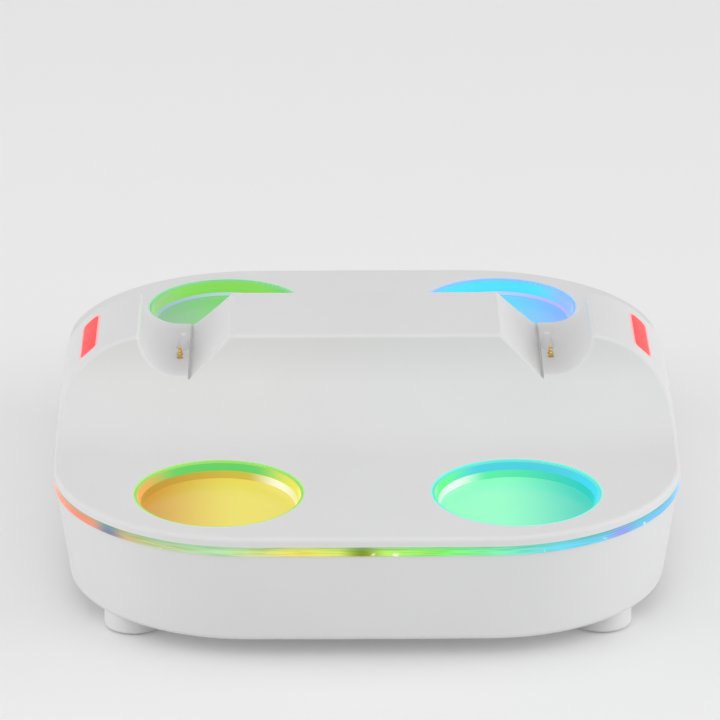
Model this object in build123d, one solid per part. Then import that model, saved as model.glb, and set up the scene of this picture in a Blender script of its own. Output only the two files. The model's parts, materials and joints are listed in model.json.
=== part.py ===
from build123d import *
import math
import os

# A charging dock for two game controllers, in millimetres.
# The dock stands on the XY plane with its front towards -Y and +Z up.
# Each controller lies along Y: its grips rest in the lit cups of one side, front and rear,
# and its middle rests in a cradle across the ridge, on two sprung contact pins.

# Outline of the casing in plan: the width as it is, the depth measured out from the cups
body_width = 147.0
end_margin = 7.15
corner_radius = 46.0
side_bow = 1.2
end_bow = 1.2

# Heights of the stack, from the table up
foot_height = 5.0
tub_height = 22.6
band_height = 2.2
rim_height = 2.2
ridge_rise = 21.2

# Top shell
wall = 2.2
ridge_flat = 29.2
ramp_radius = 23.4
ramp_gap = 2.95
shoulder_radius = 22.0
edge_round = 1.0
cradle_rim_round = 0.8

# Cradles across the ridge, one for each controller, set in from the sides of the casing
cradle_inset = 28.8
cradle_radius = 9.2
flank_reach = 12.7
flank_angle = 45.0
slit_width = 1.1
slit_depth = 0.8

# Guide post and sprung pins, set in a little from the middle of each cradle
post_shift = 0.9
post_y = 0.8
post_base_radius = 1.7
post_tip_radius = 0.8
post_height = 3.8
post_round = 0.4
pin_shift = 0.2
pin_front_y = -5.5
pin_pitch = 2.3
pin_radius = 0.5
pin_tip_radius = 0.35
pin_standing = 2.0
pin_neck = 0.9
pin_inside = 4.0
pin_travel = 0.9
pin_gap = 0.05
spring_room = 2.3
barrel_wall = 0.175
barrel_standing = 0.1
barrel_floor = 1.0
barrel_gap = 0.05

# Lit cups, set in from the middle of each cradle
cup_shift = 10.375
cup_diameter = 39.0
cup_depth = 3.8
cup_step = 1.9
cup_drop = 0.3
cup_gap = 0.15
cup_lip = 0.45
cup_ledge = 0.3
cup_taper = 0.5
cup_floor = 1.4
cup_flange = 2.4
cup_flange_height = 1.2

# Status windows on the shoulders
window_angle = 42.5
window_length = 21.0
window_width = 4.6
window_corner = 1.3
lens_gap = 0.1
lens_flange = 1.2
lens_flange_margin = 1.6
lens_post_radius = 1.2
lens_post_length = 2.4
lens_post_spread = 17.0
status_board_length = 22.0
status_board_width = 6.0
status_board_thickness = 1.0
status_led_spacing = 6.0

# Light band between the shell and the tub
band_width = 4.0
band_lip_width = 1.0
band_lip_height = 2.0

# Lower tub
tub_setback = 0.3
tub_draft = 3.2
tub_edge_radius = 1.5
tub_inner_radius = 2.5

# Feet and pads
foot_radius = 7.0
foot_inset_x = 19.3
foot_inset_y = 24.3
foot_root = 4.0
foot_edge_round = 0.6
pad_radius = 5.6
pad_thickness = 2.0
pad_standing = 0.5
pad_gap = 0.1

# Case screws: columns in the tub, bosses in the shell
column_inset_x = 13.5
column_row_y = 22.0
column_centre_y = 50.0
column_radius = 4.2
column_top_z = 20.0
boss_radius = 3.5
screw_radius = 1.45
screw_head_radius = 2.8
screw_head_height = 2.2
screw_length = 18.0
screw_gap = 0.05
screw_passage_gap = 0.25
head_gap = 0.5
head_sink = 5.0
pilot_spare = 1.0

# Main circuit board
board_side_gap = 21.5
board_end_gap = 11.0
board_corner = 30.0
board_thickness = 1.6
board_lift = 4.8
board_tab_width = 24.0
board_hole_gap = 0.5
standoff_radius = 3.0
standoff_inset = 8.0
standoff_y = 24.0
board_screw_radius = 1.2
board_screw_head_radius = 2.3
board_screw_head_height = 1.8
board_screw_length = 5.2

# Lamps and chips on the main board
led_size = 5.0
led_height = 1.6
cup_led_spread = 14.0
band_led_inset = 3.0
band_led_end_pitch = 20.0
band_led_side_pitch = 76.0
chip_size = 9.0
chip_height = 1.2
chip_row_pitch = 18.0

# Power inlet, a USB-C socket
inlet_width = 8.94
inlet_height = 3.26
inlet_length = 7.35
inlet_skin = 0.3
inlet_recess = 0.6
inlet_overhang = 2.8
inlet_gap = 0.2
inlet_back = 1.2
tongue_width = 6.7
tongue_thickness = 0.7
tongue_length = 5.5

# Contact blocks and boards under the cradles
block_width = 7.6
block_front_y = -9.0
block_rear_y = 4.0
block_side_gap = 0.5
contact_board_width = 9.0
contact_board_length = 31.0
contact_board_thickness = 1.0
contact_boss_radius = 2.5
contact_boss_y = 12.5
contact_screw_radius = 0.8
contact_screw_head_radius = 1.8
contact_screw_head_height = 1.4
contact_screw_length = 5.5
ribbon_y = 8.5
ribbon_width = 6.0
ribbon_thickness = 0.4
socket_width = 8.0
socket_depth = 3.0
socket_height = 2.8

# Heights and places worked out from the sizes above
tub_top_z = foot_height + tub_height
band_top_z = tub_top_z + band_height
tier_z = band_top_z + rim_height
ridge_z = tier_z + ridge_rise
tier_under_z = tier_z - wall
cradle_floor_z = ridge_z - cradle_radius
cradle_under_z = cradle_floor_z - wall
tub_floor_z = foot_height + wall
board_seat_z = tub_floor_z + board_lift
board_top_z = board_seat_z + board_thickness
inlet_z = board_top_z + inlet_height / 2
bore_bottom_z = cradle_floor_z - pin_inside - pin_travel - spring_room
block_bottom_z = bore_bottom_z - barrel_floor
ramp_run = math.sqrt(ramp_radius**2 - (ramp_radius - ridge_rise) ** 2)
ramp_foot_y = ridge_flat / 2 + ramp_run
cradle_x = body_width / 2 - cradle_inset
flank_x = cradle_x - flank_reach
post_x = cradle_x - post_shift
pin_x = cradle_x - pin_shift
cup_x = cradle_x - cup_shift
cup_y = ramp_foot_y + ramp_gap + cup_diameter / 2
body_depth = 2 * (cup_y + cup_diameter / 2 + end_margin)
board_width = body_width - 2 * board_side_gap
board_depth = body_depth - 2 * board_end_gap
standoff_x = board_width / 2 - standoff_inset
pin_rows = {"front": pin_front_y, "rear": pin_front_y + pin_pitch}
barrel_radius = pin_radius + pin_gap + barrel_wall
sides = {"left": -1, "right": 1}
rows = {"front": -1, "rear": 1}

column_spots = [
    (side * (body_width / 2 - column_inset_x), row * column_row_y) for side in (-1, 1) for row in (-1, 1)
] + [(0, row * column_centre_y) for row in (-1, 1)]
standoff_spots = [(x * standoff_x, y * standoff_y) for x in (-1, 1) for y in (-1, 1)]


def prism(sketch, low, high):
    """Upright prism of a plan sketch between two heights."""
    return extrude(Pos(0, 0, low) * sketch, high - low)


def peg(x, y, radius, low, high):
    """Upright round peg between two heights."""
    return prism(Pos(x, y) * Circle(radius), low, high)


def slab(x, y, width, depth, low, high):
    """Upright rectangular block between two heights."""
    return prism(Pos(x, y) * Rectangle(width, depth), low, high)


def group(solids):
    """Several separate solids as one shape."""
    return Compound(children=list(solids))


def outline(inset=0.0):
    """Plan of the casing: four slightly bowed sides and large round corners."""
    half_x = body_width / 2 - inset
    half_y = body_depth / 2 - inset
    corner_x = half_x - side_bow
    corner_y = half_y - end_bow
    edges = [
        ThreePointArc((-corner_x, -corner_y), (0, -half_y), (corner_x, -corner_y)),
        ThreePointArc((corner_x, -corner_y), (half_x, 0), (corner_x, corner_y)),
        ThreePointArc((corner_x, corner_y), (0, half_y), (-corner_x, corner_y)),
        ThreePointArc((-corner_x, corner_y), (-half_x, 0), (-corner_x, -corner_y)),
    ]
    plan = make_face(edges)
    return fillet(plan.vertices(), corner_radius - inset)


def ridge_profile(inset, base_z):
    """Side view of the tiers, the two hollow ramps and the ridge between them."""
    tier = tier_z - inset
    top = ridge_z - inset
    radius = ramp_radius + inset
    centre_z = tier_z + ramp_radius
    end_angle = math.acos((centre_z - top) / radius)
    edge_y = ramp_foot_y - radius * math.sin(end_angle)
    middle_y = ramp_foot_y - radius * math.sin(end_angle / 2)
    middle_z = centre_z - radius * math.cos(end_angle / 2)
    reach = body_depth
    return make_face(
        [
            Line((-edge_y, top), (edge_y, top)),
            ThreePointArc((edge_y, top), (middle_y, middle_z), (ramp_foot_y, tier)),
            Polyline(
                (ramp_foot_y, tier),
                (reach, tier),
                (reach, base_z),
                (-reach, base_z),
                (-reach, tier),
                (-ramp_foot_y, tier),
            ),
            ThreePointArc((-ramp_foot_y, tier), (-middle_y, middle_z), (-edge_y, top)),
        ]
    )


def upper_form(inset, base_z):
    """Outside of the top shell, or the same form shrunk by an inset."""
    pillow = prism(outline(inset), 0, ridge_z - inset)
    top_edges = pillow.faces().sort_by(Axis.Z)[-1].edges()
    pillow = fillet(top_edges, shoulder_radius - inset)
    saddle = extrude(Plane.YZ * ridge_profile(inset, base_z), body_width, both=True)
    return pillow & saddle


def edges_used_once(faces):
    """Edges that bound a set of faces, without those that two of the faces share."""
    edges = [edge for face in faces for edge in face.edges()]
    near = 1e-4
    return [
        edge
        for edge in edges
        if sum((other.center() - edge.center()).length < near for other in edges) == 1
    ]


def tiers_and_ramps(form):
    """The two flat tiers and the two ramps of an uncut upper form."""
    near = 1e-3
    tiers = [
        face
        for face in form.faces().filter_by(GeomType.PLANE)
        if abs(face.center().Z - tier_z) < near
    ]
    ramps = [
        face
        for face in form.faces().filter_by(GeomType.CYLINDER)
        if abs(face.center().X) < near and face.center().Z > tier_z
    ]
    return tiers + ramps


def cradle_profile(outset):
    """Front view of a cradle on the right: a quarter round, a flat floor and a sloped flank."""
    radius = cradle_radius + outset
    floor = ridge_z - radius
    diagonal = radius * math.sqrt(0.5)
    flank_top_x = flank_x - outset / math.sin(math.radians(flank_angle))
    flank_foot_x = flank_top_x + radius / math.tan(math.radians(flank_angle))
    outer_x = cradle_x + radius
    above = ridge_z + shoulder_radius
    return make_face(
        [
            ThreePointArc((outer_x, ridge_z), (cradle_x + diagonal, ridge_z - diagonal), (cradle_x, floor)),
            Polyline(
                (cradle_x, floor),
                (flank_foot_x, floor),
                (flank_top_x, ridge_z),
                (flank_top_x, above),
                (outer_x, above),
                (outer_x, ridge_z),
            ),
        ]
    )


def cradle(side, outset=0.0):
    """Solid that cuts one cradle right across the ridge."""
    cut = extrude(Plane.XZ * cradle_profile(outset), body_depth / 2, both=True)
    return cut if side > 0 else mirror(cut, Plane.YZ)


def cradle_slit(side):
    """Fine notch where a cradle's floor meets its flank."""
    flank_foot_x = flank_x + cradle_radius / math.tan(math.radians(flank_angle))
    undercut = slit_depth / math.tan(math.radians(flank_angle))
    notch = make_face(
        Polyline(
            (flank_foot_x, cradle_floor_z),
            (flank_foot_x + undercut, cradle_floor_z - slit_depth),
            (flank_foot_x + slit_width, cradle_floor_z - slit_depth),
            (flank_foot_x + slit_width, cradle_floor_z),
            close=True,
        )
    )
    cut = extrude(Plane.XZ * notch, body_depth / 2, both=True)
    return cut if side > 0 else mirror(cut, Plane.YZ)


def cradle_walls(form):
    """Faces that the cradles leave in the form."""
    near = 1e-6
    found = []
    for face in form.faces():
        centre = face.center()
        within = flank_x < abs(centre.X) < cradle_x + cradle_radius
        sunk = cradle_floor_z - edge_round < centre.Z < ridge_z - edge_round
        along = abs(face.normal_at().Y) < near
        if within and sunk and along and face.geom_type in (GeomType.PLANE, GeomType.CYLINDER):
            found.append(face)
    return found


def window_plane(side):
    """Plane at the shoulder's own axis that looks out through a status window."""
    angle = math.radians(window_angle)
    axis_x = body_width / 2 - shoulder_radius
    axis_z = ridge_z - shoulder_radius
    outward = (side * math.sin(angle), 0, math.cos(angle))
    return Plane(origin=(side * axis_x, 0, axis_z), x_dir=(0, 1, 0), z_dir=outward)


def window_prism(side, margin, near, far):
    """Rounded window outline, grown by a margin, between two distances from the shoulder's axis."""
    shape = RectangleRounded(window_length + 2 * margin, window_width + 2 * margin, window_corner + margin)
    return extrude(window_plane(side) * Pos(0, 0, near) * shape, far - near)


def make_top_shell():
    form = upper_form(0.0, band_top_z)
    form = fillet(edges_used_once(tiers_and_ramps(form)), edge_round)
    form -= [cradle(side) for side in sides.values()]
    form = fillet(edges_used_once(cradle_walls(form)), cradle_rim_round)
    form -= [cradle_slit(side) for side in sides.values()]

    hollow = upper_form(wall, tub_floor_z)
    hollow -= [cradle(side, wall) for side in sides.values()]
    shell = form - hollow

    bosses = [peg(x, y, boss_radius, column_top_z, ridge_z) for x, y in column_spots]
    envelope = upper_form(wall / 2, column_top_z)
    shell += [boss & envelope for boss in bosses]
    pilot_top_z = foot_height + head_sink + screw_length + pilot_spare
    shell -= [peg(x, y, screw_radius + screw_gap, column_top_z, pilot_top_z) for x, y in column_spots]

    for side in sides.values():
        for row in rows.values():
            shell -= peg(side * cup_x, row * cup_y, cup_diameter / 2, tub_top_z, tier_z + wall)
            boss_y = row * contact_boss_y
            top_z = cradle_under_z + wall / 2
            shell += peg(side * pin_x, boss_y, contact_boss_radius, block_bottom_z, top_z)
            pilot = contact_screw_radius + screw_gap
            shell -= peg(side * pin_x, boss_y, pilot, block_bottom_z, cradle_under_z)
        for pin_y in pin_rows.values():
            hole = barrel_radius + barrel_gap
            shell -= peg(side * pin_x, pin_y, hole, block_bottom_z, cradle_floor_z + wall)
        shell += guide_post(side)
        shell -= window_prism(side, 0.0, shoulder_radius / 2, shoulder_radius + wall)
    return shell


def guide_post(side):
    """Tapered post that finds the controller's headset jack."""
    root_z = cradle_floor_z - wall / 2
    post = Pos(side * post_x, post_y, cradle_floor_z) * Cone(
        post_base_radius,
        post_tip_radius,
        post_height,
        align=(Align.CENTER, Align.CENTER, Align.MIN),
    )
    post = fillet(post.faces().sort_by(Axis.Z)[-1].edges(), post_round)
    return post + peg(side * post_x, post_y, post_base_radius, root_z, cradle_floor_z)


def draft_at(z):
    """How far the tub's outside has drawn in at a height."""
    return tub_setback + tub_draft * (tub_top_z - z) / tub_height


def tub_form(inset, low_z):
    """Drafted form of the tub from a height up to its rim."""
    low = Pos(0, 0, low_z) * outline(draft_at(low_z) + inset)
    high = Pos(0, 0, tub_top_z) * outline(draft_at(tub_top_z) + inset)
    return loft([low, high], ruled=True)


def foot_spots():
    """Feet at the four corners, as row and side names with their places."""
    return {
        (row, side): (
            sides[side] * (body_width / 2 - foot_inset_x),
            rows[row] * (body_depth / 2 - foot_inset_y),
        )
        for row in rows
        for side in sides
    }


def inlet_plane():
    """Plane of the inlet's mouth, just inside the rear face of the tub, looking inwards."""
    mouth_y = body_depth / 2 - draft_at(inlet_z) - inlet_recess
    return Plane(origin=(0, mouth_y, inlet_z), x_dir=(1, 0, 0), z_dir=(0, -1, 0))


def make_lower_tub():
    tub = tub_form(0.0, foot_height)
    tub = fillet(tub.faces().sort_by(Axis.Z)[0].edges(), tub_edge_radius)
    for x, y in foot_spots().values():
        foot = peg(x, y, foot_radius, pad_standing, foot_height + foot_root)
        tub += fillet(foot.faces().sort_by(Axis.Z)[0].edges(), foot_edge_round)
    hollow = tub_form(wall, tub_floor_z)
    hollow = fillet(hollow.faces().sort_by(Axis.Z)[0].edges(), tub_inner_radius)
    tub -= hollow

    for x, y in foot_spots().values():
        tub -= peg(x, y, pad_radius + pad_gap, pad_standing, pad_thickness)
    for x, y in column_spots:
        tub += peg(x, y, column_radius, tub_floor_z, column_top_z)
        tub -= peg(x, y, screw_radius + screw_passage_gap, foot_height, column_top_z)
        tub -= peg(x, y, screw_head_radius + head_gap, foot_height, foot_height + head_sink)
    for x, y in standoff_spots:
        tub += peg(x, y, standoff_radius, tub_floor_z, board_seat_z)
        tub -= peg(x, y, board_screw_radius + screw_gap, board_top_z - board_screw_length, board_seat_z)

    slot = SlotOverall(inlet_width + 2 * inlet_gap, inlet_height + 2 * inlet_gap)
    return tub - extrude(inlet_plane() * slot, inlet_length, both=True)


def make_light_band():
    ring = outline(0.0) - outline(band_width)
    lip = outline(band_width - band_lip_width) - outline(band_width)
    return prism(ring, tub_top_z, band_top_z) + prism(lip, tub_top_z - band_lip_height, tub_top_z)


def make_light_cup(x, y):
    """Shallow dish glued by its flange under the tier, trimmed where it nears the light band."""
    outer = cup_diameter / 2 - cup_gap
    lip = outer - cup_lip
    ledge = lip - cup_taper
    floor_edge = ledge - cup_ledge - cup_taper
    rim_z = tier_z - cup_drop
    step_z = tier_z - cup_step
    floor_z = tier_z - cup_depth
    base_z = floor_z - cup_floor
    flange_z = tier_under_z - cup_flange_height
    flange = cup_diameter / 2 + cup_flange
    section = make_face(
        Polyline(
            (0, base_z),
            (outer, base_z),
            (outer, flange_z),
            (flange, flange_z),
            (flange, tier_under_z),
            (outer, tier_under_z),
            (outer, rim_z),
            (lip, rim_z),
            (ledge, step_z),
            (ledge - cup_ledge, step_z),
            (floor_edge, floor_z),
            (0, floor_z),
            close=True,
        )
    )
    dish = Pos(x, y) * revolve(Plane.XZ * section, Axis.Z)
    return dish & prism(outline(band_width + cup_gap), base_z, tier_z)


def make_status_lens(side):
    """Red window, flush with the shoulder, with a flange inside and two posts for its board."""
    skin = upper_form(0.0, tub_floor_z) - upper_form(wall, tub_floor_z)
    far = shoulder_radius + wall
    near = shoulder_radius / 2
    lens = skin & window_prism(side, -lens_gap, near, far)
    inner = upper_form(wall, tub_floor_z) - upper_form(wall + lens_flange, tub_floor_z)
    lens += inner & window_prism(side, lens_flange_margin, near, far)
    posts = Pos(0, 0, status_seat()) * Locations((-lens_post_spread / 2, 0), (lens_post_spread / 2, 0))
    for spot in posts:
        foot = window_plane(side) * spot * Circle(lens_post_radius)
        lens += extrude(foot, lens_post_length + lens_flange / 2)
    return lens


def status_seat():
    """Distance of a lens post's end from the shoulder's axis."""
    return shoulder_radius - wall - lens_flange - lens_post_length


def make_status_board(side):
    board = Rectangle(status_board_length, status_board_width)
    low = status_seat() - status_board_thickness
    return extrude(window_plane(side) * Pos(0, 0, low) * board, status_board_thickness)


def make_status_leds():
    lamps = []
    for side in sides.values():
        for step in (-1, 0, 1):
            base = Pos(step * status_led_spacing, 0, status_seat()) * Rectangle(led_size / 2, led_size / 2)
            lamps.append(extrude(window_plane(side) * base, led_height / 2))
    return group(lamps)


def make_pin_barrels(side):
    """Two plated tubes that stand on the contact board and come up through the cradle's floor."""
    tubes = []
    for pin_y in pin_rows.values():
        x = side * pin_x
        tube = peg(x, pin_y, barrel_radius, block_bottom_z, cradle_floor_z + barrel_standing)
        tubes.append(tube - peg(x, pin_y, pin_radius + pin_gap, bore_bottom_z, cradle_floor_z + wall))
    return group(tubes)


def make_contact_pin(side, pin_y):
    """Sprung plunger with a narrower rounded tip."""
    neck_z = pin_standing - pin_neck
    section = make_face(
        [
            Polyline(
                (0, pin_standing),
                (0, -pin_inside),
                (pin_radius, -pin_inside),
                (pin_radius, neck_z),
                (pin_tip_radius, neck_z + pin_radius - pin_tip_radius),
                (pin_tip_radius, pin_standing - pin_tip_radius),
            ),
            RadiusArc((pin_tip_radius, pin_standing - pin_tip_radius), (0, pin_standing), -pin_tip_radius),
        ]
    )
    return Pos(side * pin_x, pin_y, cradle_floor_z) * revolve(Plane.XZ * section, Axis.Z)


def make_contact_block(side):
    """Moulded block under the cradle's floor that holds the pin barrels upright."""
    flank_foot_x = flank_x + cradle_radius / math.tan(math.radians(flank_angle))
    inner_x = flank_foot_x - block_side_gap
    x = side * (inner_x + block_width / 2)
    middle_y = (block_front_y + block_rear_y) / 2
    block = slab(x, middle_y, block_width, block_rear_y - block_front_y, block_bottom_z, cradle_under_z)
    for pin_y in pin_rows.values():
        block -= peg(side * pin_x, pin_y, barrel_radius + barrel_gap, block_bottom_z, cradle_under_z)
    return block


def make_contact_board(side):
    low = block_bottom_z - contact_board_thickness
    board = slab(side * pin_x, 0, contact_board_width, contact_board_length, low, block_bottom_z)
    for row in rows.values():
        hole = contact_screw_radius + screw_passage_gap
        board -= peg(side * pin_x, row * contact_boss_y, hole, low, block_bottom_z)
    return board


def screw(x, y, seat_z, shank_radius, length, head_radius, head_height, up):
    """Pan-head screw; its shank points up or down from the seat."""
    way = 1 if up else -1
    shank = sorted((seat_z, seat_z + way * length))
    head = sorted((seat_z, seat_z - way * head_height))
    return peg(x, y, shank_radius, *shank) + peg(x, y, head_radius, *head)


def make_contact_screws():
    seat_z = block_bottom_z - contact_board_thickness
    size = (contact_screw_radius, contact_screw_length, contact_screw_head_radius, contact_screw_head_height)
    spots = [(side * pin_x, row * contact_boss_y) for side in sides.values() for row in rows.values()]
    return group([screw(x, y, seat_z, *size, up=True) for x, y in spots])


def make_case_screws():
    seat_z = foot_height + head_sink
    size = (screw_radius, screw_length, screw_head_radius, screw_head_height)
    return group([screw(x, y, seat_z, *size, up=True) for x, y in column_spots])


def make_board_screws():
    size = (board_screw_radius, board_screw_length, board_screw_head_radius, board_screw_head_height)
    return group([screw(x, y, board_top_z, *size, up=False) for x, y in standoff_spots])


def make_main_board():
    """Board with a tab at the rear for the inlet, and holes for the middle columns."""
    tab_end_y = inlet_plane().origin.Y - inlet_overhang
    plan = RectangleRounded(board_width, board_depth, board_corner)
    plan += Pos(0, tab_end_y / 2) * Rectangle(board_tab_width, tab_end_y)
    board = prism(plan, board_seat_z, board_top_z)
    for row in rows.values():
        board -= peg(0, row * column_centre_y, column_radius + board_hole_gap, board_seat_z, board_top_z)
    for x, y in standoff_spots:
        board -= peg(x, y, board_screw_radius + screw_passage_gap, board_seat_z, board_top_z)
    return board


def lamp(x, y):
    """One surface-mounted lamp on the main board."""
    return slab(x, y, led_size, led_size, board_top_z, board_top_z + led_height)


def make_cup_leds():
    spots = [
        (side * cup_x + dx * cup_led_spread / 2, row * cup_y + dy * cup_led_spread / 2)
        for side in sides.values()
        for row in rows.values()
        for dx in (-1, 1)
        for dy in (-1, 1)
    ]
    return group([lamp(x, y) for x, y in spots])


def make_band_leds():
    edge_x = board_width / 2 - band_led_inset - led_size / 2
    edge_y = board_depth / 2 - band_led_inset - led_size / 2
    beside = [(side * edge_x, step * band_led_side_pitch / 2) for side in sides.values() for step in (-1, 1)]
    ends = [(step * band_led_end_pitch / 2, row * edge_y) for row in rows.values() for step in (-1, 1)]
    return group([lamp(x, y) for x, y in beside + ends])


def make_board_chips():
    steps = (-1, 0, 1)
    top_z = board_top_z + chip_height
    chips = [slab(step * chip_row_pitch, 0, chip_size, chip_size, board_top_z, top_z) for step in steps]
    return group(chips)


def make_inlet_shell():
    bore = SlotOverall(inlet_width - 2 * inlet_skin, inlet_height - 2 * inlet_skin)
    return extrude(inlet_plane() * (SlotOverall(inlet_width, inlet_height) - bore), inlet_length)


def make_inlet_tongue():
    bore = SlotOverall(inlet_width - 2 * inlet_skin, inlet_height - 2 * inlet_skin)
    back = extrude(inlet_plane() * Pos(0, 0, inlet_length - inlet_back) * bore, inlet_back)
    start = inlet_length - inlet_back - tongue_length
    blade = Rectangle(tongue_width, tongue_thickness)
    return back + extrude(inlet_plane() * Pos(0, 0, start) * blade, tongue_length)


def make_contact_ribbon(side):
    """Flat cable from the main board up to a contact board."""
    low = board_top_z + socket_height
    high = block_bottom_z - contact_board_thickness
    return slab(side * pin_x, ribbon_y, ribbon_width, ribbon_thickness, low, high)


def make_ribbon_sockets():
    top_z = board_top_z + socket_height
    spots = [(side * pin_x, ribbon_y) for side in sides.values()]
    return group([slab(x, y, socket_width, socket_depth, board_top_z, top_z) for x, y in spots])


def make_nodes():
    """Every piece of the dock by its node name."""
    nodes = {
        "top_shell": make_top_shell(),
        "lower_tub": make_lower_tub(),
        "light_band": make_light_band(),
        "main_board": make_main_board(),
        "cup_leds": make_cup_leds(),
        "band_leds": make_band_leds(),
        "board_chips": make_board_chips(),
        "inlet_shell": make_inlet_shell(),
        "inlet_tongue": make_inlet_tongue(),
        "ribbon_sockets": make_ribbon_sockets(),
        "status_leds": make_status_leds(),
        "case_screws": make_case_screws(),
        "board_screws": make_board_screws(),
        "contact_screws": make_contact_screws(),
    }
    for side_name, side in sides.items():
        nodes[f"status_lens_{side_name}"] = make_status_lens(side)
        nodes[f"status_board_{side_name}"] = make_status_board(side)
        nodes[f"contact_block_{side_name}"] = make_contact_block(side)
        nodes[f"contact_board_{side_name}"] = make_contact_board(side)
        nodes[f"contact_ribbon_{side_name}"] = make_contact_ribbon(side)
        nodes[f"pin_barrels_{side_name}"] = make_pin_barrels(side)
        for row_name, pin_y in pin_rows.items():
            nodes[f"contact_pin_{side_name}_{row_name}"] = make_contact_pin(side, pin_y)
        for row_name, row in rows.items():
            nodes[f"light_cup_{row_name}_{side_name}"] = make_light_cup(side * cup_x, row * cup_y)
    for (row_name, side_name), (x, y) in foot_spots().items():
        nodes[f"foot_pad_{row_name}_{side_name}"] = peg(x, y, pad_radius, 0, pad_thickness)
    return nodes


os.makedirs("parts", exist_ok=True)
for name, shape in make_nodes().items():
    export_step(shape, f"parts/{name}.step")
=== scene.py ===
import json
import math

import bpy
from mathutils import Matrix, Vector


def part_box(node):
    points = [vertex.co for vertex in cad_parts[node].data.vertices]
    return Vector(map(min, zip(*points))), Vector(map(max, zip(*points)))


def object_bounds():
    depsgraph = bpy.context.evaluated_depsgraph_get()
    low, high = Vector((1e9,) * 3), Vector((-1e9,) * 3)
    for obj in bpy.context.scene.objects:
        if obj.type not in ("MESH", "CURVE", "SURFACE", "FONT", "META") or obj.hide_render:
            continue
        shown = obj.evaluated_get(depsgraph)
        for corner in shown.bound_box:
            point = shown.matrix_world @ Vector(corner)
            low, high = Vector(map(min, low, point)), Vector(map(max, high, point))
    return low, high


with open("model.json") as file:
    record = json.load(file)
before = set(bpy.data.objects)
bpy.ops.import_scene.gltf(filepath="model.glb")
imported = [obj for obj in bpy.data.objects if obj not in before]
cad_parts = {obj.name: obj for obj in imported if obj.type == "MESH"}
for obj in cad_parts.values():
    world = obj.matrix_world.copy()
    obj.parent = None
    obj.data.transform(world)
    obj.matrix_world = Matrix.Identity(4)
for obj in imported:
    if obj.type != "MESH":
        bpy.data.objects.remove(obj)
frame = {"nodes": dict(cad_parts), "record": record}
cad_low, cad_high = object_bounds()
nodes = frame["nodes"]
record = frame["record"]

# Plain colours
white = (1.0, 1.0, 1.0, 1)
black = (0.0, 0.0, 0.0, 1)

# Camera: a long lens in front of the dock, in metres and degrees
camera_lens_mm = 250.0
camera_distance = 1.209
camera_elevation = 21.91
camera_azimuth = 0.61
camera_target = Vector((0.0, 0.0, 0.031))
camera_aim_right = -0.00126
camera_aim_up = 0.00936

# Studio: a faintly lit floor that runs up into a backdrop, soft boxes and an even sky
floor_half_width = 5.0
floor_front = -5.0
floor_back = 2.0
backdrop_height = 4.0
backdrop_bend = 1.0
backdrop_bend_steps = 16
floor_colour = (0.74, 0.74, 0.74, 1)
floor_glow = 0.11
sky_light = 0.39
sky_seen = 0.77
# name: place, width, height, watts, whether glossy surfaces mirror it
soft_boxes = {
    "key_box": ((0.0, -1.3, 1.2), 1.6, 1.0, 6.4, True),
    "top_box": ((0.0, -0.2, 1.2), 1.4, 1.4, 3.0, True),
    "right_box": ((3.4, -0.4, 1.2), 4.0, 2.4, 76.0, False),
    "left_box": ((-3.4, -0.4, 1.2), 4.0, 2.4, 64.0, False),
}

# Lit cup: heights up from its underside, and the lengths over which its light changes
cup_floor_thickness = 0.0014
cup_rim_height = 0.0049
cup_radius = 0.0195
zone_blend = 0.0001
# Painted highlight on a cup's lower wall: its place in from the inner edge, and its spread
highlight_inset = 0.0055
highlight_spread = 0.008

# Where a cup's fields change from the inner to the outer side, in radii from its inner edge
field_shade = (0.7, 2.0)
inner_to_middle = (0.1, 0.6)
middle_to_outer = (1.5, 1.95)

# Status windows on the shoulders
window_half_length = 0.0105
window_half_width = 0.0023
window_corner = 0.0013
window_angle = math.radians(42.5)
shoulder_radius = 0.022

# Painted glow that the lit pieces spill onto the white plastic around them
glow_reach = 0.0006
window_glow_reach = 0.0011
window_glow_share = 0.75
glow_strength = 0.25

# Light band: its edge under the shell in painted shade, the streaks along it and the painted glints at its
# foot
band_edge_depth = 0.0006
shell_shade_share = 0.4
streak_rate = 60.0
streak_pitch = 3500.0
streak_noise = (0.55, 0.35)
streak_share = 0.28
glint_scale = 300.0
glint_noise = (0.64, 0.72)


def linear(level):
    """One sRGB level of 0 to 255 as linear light."""
    share = level / 255
    return share / 12.92 if share <= 0.04045 else ((share + 0.055) / 1.055) ** 2.4


def rgb(red, green, blue):
    """An sRGB colour of 0 to 255 as a linear colour with full alpha."""
    return (linear(red), linear(green), linear(blue), 1.0)
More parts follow.
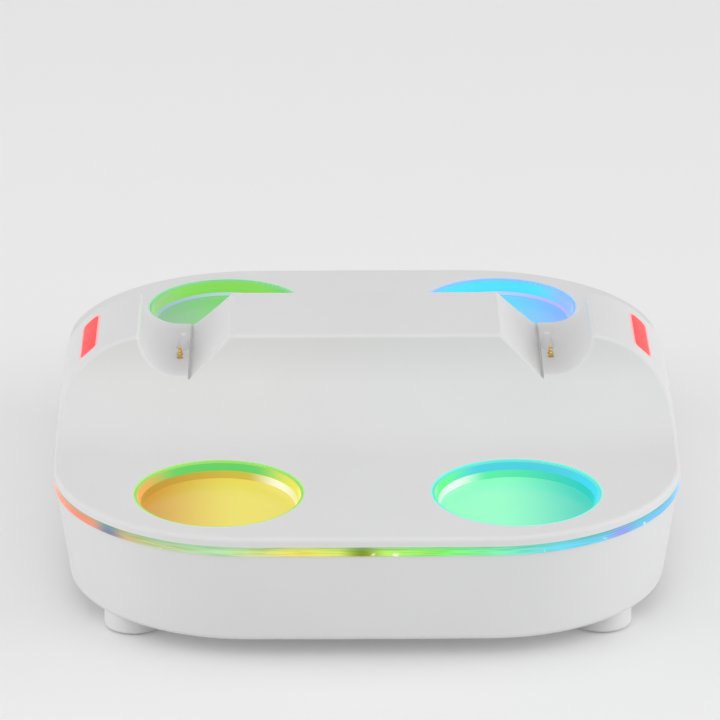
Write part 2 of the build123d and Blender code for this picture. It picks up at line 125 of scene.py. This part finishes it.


# Light in the cups: inner and outer colours of each field, with a middle one for the upper wall, and a
# painted highlight on the lower wall
cup_lights = {
    "light_cup_front_left": {
        "floor": (rgb(238, 224, 100), rgb(215, 160, 70)),
        "lower_wall": (rgb(210, 194, 74), rgb(196, 150, 62)),
        "upper_wall": (rgb(235, 232, 100), rgb(105, 214, 108), rgb(240, 178, 98)),
        "rim": rgb(160, 220, 115),
        "painted_highlight": rgb(255, 255, 225),
        "wall_split": 0.0032,
    },
    "light_cup_front_right": {
        "floor": (rgb(150, 255, 200), rgb(76, 214, 195)),
        "lower_wall": (rgb(100, 238, 176), rgb(48, 205, 198)),
        "upper_wall": (rgb(115, 250, 145), rgb(82, 210, 230), rgb(72, 218, 248)),
        "rim": rgb(110, 228, 215),
        "painted_highlight": rgb(245, 255, 245),
        "wall_split": 0.0032,
    },
    "light_cup_rear_left": {
        "floor": (rgb(125, 215, 105), rgb(145, 192, 155)),
        # The pale lavender-white lower wall of a rear cup is a painted highlight on its step
        "lower_wall": (rgb(200, 228, 230), rgb(165, 190, 215)),
        "upper_wall": (rgb(112, 210, 130), rgb(142, 222, 95), rgb(160, 208, 140)),
        "rim": rgb(140, 210, 150),
        "painted_highlight": rgb(210, 230, 240),
        "wall_split": 0.0023,
    },
    "light_cup_rear_right": {
        "floor": (rgb(95, 225, 246), rgb(135, 186, 255)),
        # The pale lavender-white lower wall of a rear cup is a painted highlight on its step
        "lower_wall": (rgb(205, 222, 255), rgb(195, 186, 250)),
        "upper_wall": (rgb(110, 215, 248), rgb(90, 230, 250), rgb(162, 190, 252)),
        "rim": rgb(145, 195, 252),
        "painted_highlight": rgb(210, 222, 255),
        "wall_split": 0.0023,
    },
}

# Light in the band: a rainbow once round the dock from its left side, and the joints between its lamps
band_rainbow = [
    (0.00, rgb(255, 80, 80)),
    (0.13, rgb(250, 145, 115)),
    (0.16, rgb(196, 204, 145)),
    (0.19, rgb(186, 230, 178)),
    (0.22, rgb(245, 232, 100)),
    (0.28, rgb(136, 252, 110)),
    (0.30, rgb(130, 248, 180)),
    (0.325, rgb(110, 222, 246)),
    (0.43, rgb(105, 170, 255)),
    (0.50, rgb(120, 110, 255)),
    (0.62, rgb(180, 90, 250)),
    (0.75, rgb(245, 90, 220)),
    (0.88, rgb(255, 90, 140)),
    (1.00, rgb(255, 80, 80)),
]
band_joints = [
    (0.142, rgb(125, 138, 165)),
    (0.247, rgb(132, 152, 24)),
    (0.354, rgb(148, 168, 255)),
]
joint_spread = 0.011
# Painted shade of the shell on the band's top edge, tinted green-cyan
shell_shade_colour = rgb(100, 190, 140)
streak_colour = rgb(90, 105, 60)
# Painted glints at the band's foot
painted_glint_colour = rgb(255, 255, 215)

# White plastic, and the painted red glow that its windows spill onto it
casing_dark = (0.690, 0.690, 0.693, 1)
casing_light = (0.710, 0.710, 0.712, 1)
painted_window_glow = rgb(255, 120, 120)


class Shader:
    """One node material, with short ways to add nodes and wire them."""

    def __init__(self, name):
        self.material = bpy.data.materials.new(name)
        self.material.use_nodes = True
        self.tree = self.material.node_tree
        self.surface = self.tree.nodes["Principled BSDF"]
        self.place = self.node("ShaderNodeTexCoord").outputs["Object"]
        axes = self.node("ShaderNodeSeparateXYZ", {"Vector": self.place})
        self.x, self.y, self.z = axes.outputs

    def put(self, socket, value):
        if isinstance(value, bpy.types.NodeSocket):
            self.tree.links.new(value, socket)
        else:
            socket.default_value = value

    def node(self, kind, inputs=None, **settings):
        made = self.tree.nodes.new(kind)
        for key, value in settings.items():
            setattr(made, key, value)
        for key, value in (inputs or {}).items():
            self.put(made.inputs[key], value)
        return made

    def set(self, **inputs):
        """Set or wire the surface's own sockets, with _ for a space in a name."""
        for key, value in inputs.items():
            self.put(self.surface.inputs[key.replace("_", " ")], value)

    def noise(self, scale, detail=2.0):
        made = self.node("ShaderNodeTexNoise", {"Vector": self.place, "Scale": scale, "Detail": detail})
        return made.outputs["Fac"]

    def span(self, value, low, high, to_low=0.0, to_high=1.0, easing="SMOOTHSTEP"):
        """Value from low to high as to_low to to_high."""
        inputs = {"Value": value, "From Min": low, "From Max": high, "To Min": to_low, "To Max": to_high}
        return self.node("ShaderNodeMapRange", inputs, interpolation_type=easing).outputs["Result"]

    def math(self, operation, first, second=0.0):
        return self.node("ShaderNodeMath", {0: first, 1: second}, operation=operation).outputs[0]

    def reach(self, first, second):
        """Length of a flat vector."""
        flat = self.node("ShaderNodeCombineXYZ", {0: first, 1: second})
        made = self.node("ShaderNodeVectorMath", {0: flat.outputs[0]}, operation="LENGTH")
        return made.outputs["Value"]

    def ramp(self, value, stops):
        """Colour along a list of (place, colour) stops."""
        made = self.node("ShaderNodeValToRGB", {"Fac": value})
        elements = made.color_ramp.elements
        elements.remove(elements[1])
        elements[0].position, elements[0].color = stops[0]
        for place, colour in stops[1:]:
            elements.new(place).color = colour
        return made.outputs["Color"]

    def mix(self, share, first, second):
        made = self.node("ShaderNodeMix", data_type="RGBA")
        self.put(made.inputs[0], share)
        self.put(made.inputs[6], first)
        self.put(made.inputs[7], second)
        return made.outputs[2]

    def drift(self, dark, light, scale):
        """Slow change between two close colours."""
        return self.ramp(self.noise(scale), [(0.3, dark), (0.7, light)])

    def satin(self, scale, low, high):
        """Roughness that wanders a little."""
        self.set(Roughness=self.span(self.noise(scale, 4.0), 0.2, 0.8, low, high))

    def bump(self, height, distance, strength):
        inputs = {"Height": height, "Distance": distance, "Strength": strength}
        self.set(Normal=self.node("ShaderNodeBump", inputs).outputs["Normal"])


def cup_centre(node):
    """Middle of a cup in plan, from the opening that the record gives it."""
    box = next(o["box_m"] for o in record["physics"]["openings"] if "light_" + o["name"] == node)
    return (box[0][0] + box[1][0]) / 2, (box[0][1] + box[1][1]) / 2


def window_distance(shader):
    """How far a point of the shoulder lies outside its status window."""
    axis_x = cad_high.x - shoulder_radius
    axis_z = cad_high.z - shoulder_radius
    out = shader.math("SUBTRACT", shader.math("ABSOLUTE", shader.x), axis_x)
    up = shader.math("SUBTRACT", shader.z, axis_z)
    turn = shader.math("SUBTRACT", shader.math("ARCTAN2", out, up), window_angle)
    across = shader.math("ABSOLUTE", shader.math("MULTIPLY", turn, shoulder_radius))
    along = shader.math("ABSOLUTE", shader.y)
    over_across = shader.math("SUBTRACT", across, window_half_width - window_corner)
    over_along = shader.math("SUBTRACT", along, window_half_length - window_corner)
    over = shader.reach(shader.math("MAXIMUM", over_across), shader.math("MAXIMUM", over_along))
    return shader.math("SUBTRACT", over, window_corner)


def white_plastic():
    """Satin white moulding with a fine spark-eroded grain, with painted glow from its windows and cups on
    it.
    """
    shader = Shader("white_plastic")
    colour = shader.drift(casing_dark, casing_light, 30.0)
    band_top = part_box("light_band")[1].z
    above_band = shader.span(shader.z, band_top - glow_reach * 2, band_top - glow_reach)
    # Painted glow: the red of the windows and each cup's rim colour mixed into the plastic's colour and
    # emission close to them
    near_window = shader.span(window_distance(shader), window_glow_reach, 0.0, to_high=window_glow_share)
    painted_glows = [(near_window, painted_window_glow)]
    for node, light in cup_lights.items():
        x, y = cup_centre(node)
        away = shader.reach(shader.math("SUBTRACT", shader.x, x), shader.math("SUBTRACT", shader.y, y))
        near_cup = shader.span(away, cup_radius + glow_reach, cup_radius)
        painted_glows.append((shader.math("MULTIPLY", near_cup, above_band), light["rim"]))
    glowing = black
    for share, halo in painted_glows:
        colour = shader.mix(share, colour, halo)
        glowing = shader.mix(share, glowing, halo)
    shader.set(Base_Color=colour, Specular_IOR_Level=0.4)
    shader.set(Emission_Color=glowing, Emission_Strength=glow_strength)
    shader.satin(220.0, 0.36, 0.44)
    shader.bump(shader.noise(2600.0, 3.0), 0.00004, 0.3)
    return shader.material


def glow(shader, colour, lit, gloss):
    """Glossy clear plastic: a lit share of its colour comes from within, the rest from the room."""
    dimmed = shader.mix(lit, colour, black)
    shader.set(Base_Color=dimmed, Emission_Color=colour, Emission_Strength=lit, Specular_IOR_Level=gloss)
    shader.satin(400.0, 0.16, 0.24)
    shader.bump(shader.noise(1500.0), 0.00003, 0.2)


def light_band():
    """Diffuser lit in a rainbow all round, with painted shade of the shell on its top edge and painted
    glints at its foot.
    """
    shader = Shader("band_diffuser")
    angle = shader.math("ARCTAN2", shader.y, shader.x)
    turn = shader.span(angle, -math.pi, math.pi, easing="LINEAR")
    colour = shader.ramp(turn, band_rainbow)
    for place, joint in band_joints:
        away = shader.math("ABSOLUTE", shader.math("SUBTRACT", turn, place))
        colour = shader.mix(shader.span(away, joint_spread, 0.0), colour, joint)
    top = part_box("light_band")[1].z
    edge_low = top - band_edge_depth * 2
    edge_high = top - band_edge_depth / 2
    # Painted shade of the shell on the band's top edge, tinted green-cyan
    shell_shade = shader.span(shader.z, edge_low, edge_high, to_high=shell_shade_share)
    colour = shader.mix(shell_shade, colour, shell_shade_colour)
    along = shader.math("MULTIPLY", turn, streak_rate)
    upwards = shader.math("MULTIPLY", shader.z, streak_pitch)
    streak_place = shader.node("ShaderNodeCombineXYZ", {0: along, 2: upwards})
    streaks = shader.node("ShaderNodeTexNoise", {"Vector": streak_place.outputs[0], "Scale": 1.0})
    dim = shader.span(streaks.outputs["Fac"], *streak_noise, to_high=streak_share)
    colour = shader.mix(dim, colour, streak_colour)
    # Painted glints at the band's foot
    painted_glints = shader.span(shader.noise(glint_scale), *glint_noise)
    at_foot = shader.span(shader.z, edge_low, top - band_edge_depth * 3)
    colour = shader.mix(shader.math("MULTIPLY", painted_glints, at_foot), colour, painted_glint_colour)
    glow(shader, colour, lit=0.9, gloss=0.3)
    return shader.material


def in_radii(shares):
    """Shares of a cup's radius as lengths."""
    return [cup_radius * share for share in shares]


def lit_cup(node, light):
    """Glossy dish lit from below, each of its fields shading from its inner to its outer side, with a
    painted highlight on its lower wall.
    """
    shader = Shader(node)
    inner_x = abs(cup_centre(node)[0]) - cup_radius
    outwards = shader.math("SUBTRACT", shader.math("ABSOLUTE", shader.x), inner_x)
    shade = shader.span(outwards, *in_radii(field_shade))
    inner, middle, outer = light["upper_wall"]
    upper_wall = shader.mix(shader.span(outwards, *in_radii(inner_to_middle)), inner, middle)
    upper_wall = shader.mix(shader.span(outwards, *in_radii(middle_to_outer)), upper_wall, outer)
    lower_wall = shader.mix(shade, *light["lower_wall"])
    # Painted highlight on the lower wall, towards the dock's middle
    from_highlight = shader.math("ABSOLUTE", shader.math("SUBTRACT", outwards, highlight_inset))
    near_highlight = shader.span(from_highlight, highlight_spread, 0.0)
    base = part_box(node)[0].z
    zones = [
        (cup_floor_thickness + zone_blend, shader.mix(near_highlight, lower_wall, light["painted_highlight"])),
        (light["wall_split"], upper_wall),
        (cup_rim_height - zone_blend, light["rim"]),
    ]
    colour = shader.mix(shade, *light["floor"])
    for height, field in zones:
        share = shader.span(shader.z, base + height - zone_blend / 2, base + height + zone_blend / 2)
        colour = shader.mix(share, colour, field)
    glow(shader, colour, lit=0.5, gloss=0.2)
    return shader.material


def status_red():
    """Red window lit from behind, its colour drifting a little."""
    shader = Shader("status_red")
    colour = shader.drift(rgb(250, 46, 50), rgb(255, 64, 66), 90.0)
    glow(shader, colour, lit=0.85, gloss=0.1)
    return shader.material


def metal(name, dark, light, low, high, grain):
    """Plated metal with a faint tumbled grain and a roughness of low to high."""
    shader = Shader(name)
    shader.set(Base_Color=shader.drift(dark, light, grain / 10), Metallic=1.0)
    shader.satin(grain, low, high)
    shader.bump(shader.noise(grain * 2, 3.0), 0.00001, 0.2)
    return shader.material


def dull(name, dark, light, low, high, grain, depth):
    """Rubber or plain plastic with a visible grain and a roughness of low to high."""
    shader = Shader(name)
    shader.set(Base_Color=shader.drift(dark, light, grain / 20))
    shader.satin(grain, low, high)
    shader.bump(shader.noise(grain * 3, 3.0), depth, 0.5)
    return shader.material


def circuit_board():
    """Green solder mask over a lattice of buried tracks."""
    shader = Shader("circuit_board")
    tracks = shader.node(
        "ShaderNodeTexBrick",
        {"Vector": shader.place, "Scale": 180.0, "Mortar Size": 0.04, "Mortar Smooth": 0.3},
    )
    mask = shader.drift((0.010, 0.085, 0.035, 1), (0.014, 0.11, 0.045, 1), 60.0)
    shader.set(Base_Color=shader.mix(tracks.outputs["Fac"], mask, (0.03, 0.17, 0.07, 1)))
    shader.satin(300.0, 0.25, 0.35)
    shader.bump(tracks.outputs["Fac"], 0.00003, 0.6)
    return shader.material


def ribbon_film():
    """Pale flat cable with a comb of tinned tracks."""
    shader = Shader("ribbon_film")
    comb = shader.node(
        "ShaderNodeTexWave", {"Vector": shader.place, "Scale": 320.0, "Distortion": 0.0}, bands_direction="X"
    )
    film = (0.62, 0.62, 0.58, 1)
    tinned = (0.75, 0.75, 0.72, 1)
    shader.set(Base_Color=shader.ramp(comb.outputs["Fac"], [(0.45, film), (0.6, tinned)]))
    shader.satin(500.0, 0.35, 0.5)
    shader.bump(comb.outputs["Fac"], 0.00003, 0.5)
    return shader.material


def lamp_white():
    """Lamp package: a pale body with a lit yellow phosphor."""
    shader = Shader("lamp_white")
    colour = shader.drift((0.80, 0.78, 0.55, 1), (0.88, 0.86, 0.70, 1), 500.0)
    glow(shader, colour, lit=0.4, gloss=0.4)
    return shader.material


def dress():
    """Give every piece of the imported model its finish."""
    finishes = {
        "casing_white": white_plastic(),
        "band_diffuser": light_band(),
        "status_red": status_red(),
        "contact_gold": metal(
            "contact_gold", dark=(0.72, 0.47, 0.14, 1), light=(0.84, 0.60, 0.24, 1),
            low=0.18, high=0.30, grain=2500.0,
        ),
        "plated_steel": metal(
            "plated_steel", dark=(0.55, 0.55, 0.56, 1), light=(0.66, 0.66, 0.66, 1),
            low=0.25, high=0.38, grain=1200.0,
        ),
        "moulded_black": dull(
            "moulded_black", dark=(0.018, 0.018, 0.02, 1), light=(0.03, 0.03, 0.032, 1),
            low=0.4, high=0.55, grain=900.0, depth=0.00003,
        ),
        "pad_rubber": dull(
            "pad_rubber", dark=(0.46, 0.46, 0.46, 1), light=(0.54, 0.54, 0.54, 1),
            low=0.7, high=0.85, grain=1200.0, depth=0.00006,
        ),
        "circuit_board": circuit_board(),
        "ribbon_film": ribbon_film(),
        "lamp_white": lamp_white(),
    }
    cups = {node: lit_cup(node, light) for node, light in cup_lights.items()}
    for part in record["subparts"]:
        node = part["node"]
        finish = cups[node] if node in cups else finishes[part["material_slot"]]
        for slot in nodes[node].material_slots:
            slot.material = finish


def make_camera():
    """Camera at the photo's angle, aimed a little above the dock's middle."""
    azimuth, elevation = math.radians(camera_azimuth), math.radians(camera_elevation)
    right = Vector((math.cos(azimuth), -math.sin(azimuth), 0.0))
    forward = Vector(
        (
            math.sin(azimuth) * math.cos(elevation),
            math.cos(azimuth) * math.cos(elevation),
            -math.sin(elevation),
        )
    )
    place = camera_target - forward * camera_distance
    aim = camera_target + right * camera_aim_right + right.cross(forward) * camera_aim_up
    data = bpy.data.cameras.new("camera")
    data.lens = camera_lens_mm
    camera = bpy.data.objects.new("camera", data)
    bpy.context.scene.collection.objects.link(camera)
    camera.location = place
    camera.rotation_euler = (aim - place).to_track_quat("-Z", "Y").to_euler()
    bpy.context.scene.camera = camera


def make_floor():
    """Plain pale floor, faintly lit from within, that bends up into a backdrop behind the dock."""
    profile = [(floor_front, 0.0)]
    for step in range(backdrop_bend_steps + 1):
        angle = math.pi / 2 * step / backdrop_bend_steps
        profile.append(
            (floor_back + backdrop_bend * math.sin(angle), backdrop_bend * (1 - math.cos(angle)))
        )
    profile.append((floor_back + backdrop_bend, backdrop_height))
    points = [(x, y, z) for y, z in profile for x in (-floor_half_width, floor_half_width)]
    faces = [(2 * i, 2 * i + 1, 2 * i + 3, 2 * i + 2) for i in range(len(profile) - 1)]
    mesh = bpy.data.meshes.new("floor")
    mesh.from_pydata(points, [], faces)
    mesh.shade_smooth()
    floor = bpy.data.objects.new("floor", mesh)
    bpy.context.scene.collection.objects.link(floor)
    shader = Shader("floor_paper")
    shader.set(Base_Color=floor_colour, Roughness=0.9, Specular_IOR_Level=0.1)
    shader.set(Emission_Color=white, Emission_Strength=floor_glow)
    mesh.materials.append(shader.material)


def make_lights():
    """Soft boxes and an even sky; the camera, gloss and glass see the sky as a pale backdrop."""
    for name, (place, width, height, watts, mirrored) in soft_boxes.items():
        data = bpy.data.lights.new(name, "AREA")
        data.shape = "RECTANGLE"
        data.size, data.size_y = width, height
        data.energy = watts
        lamp = bpy.data.objects.new(name, data)
        bpy.context.scene.collection.objects.link(lamp)
        lamp.location = place
        lamp.visible_glossy = mirrored
        lamp.rotation_euler = (camera_target - Vector(place)).to_track_quat("-Z", "Y").to_euler()
    world = bpy.data.worlds.new("studio")
    bpy.context.scene.world = world
    world.use_nodes = True
    tree = world.node_tree
    path = tree.nodes.new("ShaderNodeLightPath")
    seen = tree.nodes.new("ShaderNodeMath")
    seen.operation = "MAXIMUM"
    tree.links.new(path.outputs["Is Camera Ray"], seen.inputs[0])
    tree.links.new(path.outputs["Is Transmission Ray"], seen.inputs[1])
    either = tree.nodes.new("ShaderNodeMath")
    either.operation = "MAXIMUM"
    tree.links.new(seen.outputs[0], either.inputs[0])
    tree.links.new(path.outputs["Is Glossy Ray"], either.inputs[1])
    strength = tree.nodes.new("ShaderNodeMapRange")
    strength.inputs["To Min"].default_value = sky_light
    strength.inputs["To Max"].default_value = sky_seen
    tree.links.new(either.outputs[0], strength.inputs["Value"])
    sky = tree.nodes["Background"]
    sky.inputs["Color"].default_value = white
    tree.links.new(strength.outputs["Result"], sky.inputs["Strength"])


dress()
make_camera()
make_floor()
make_lights()
bpy.context.scene.view_settings.view_transform = "Standard"
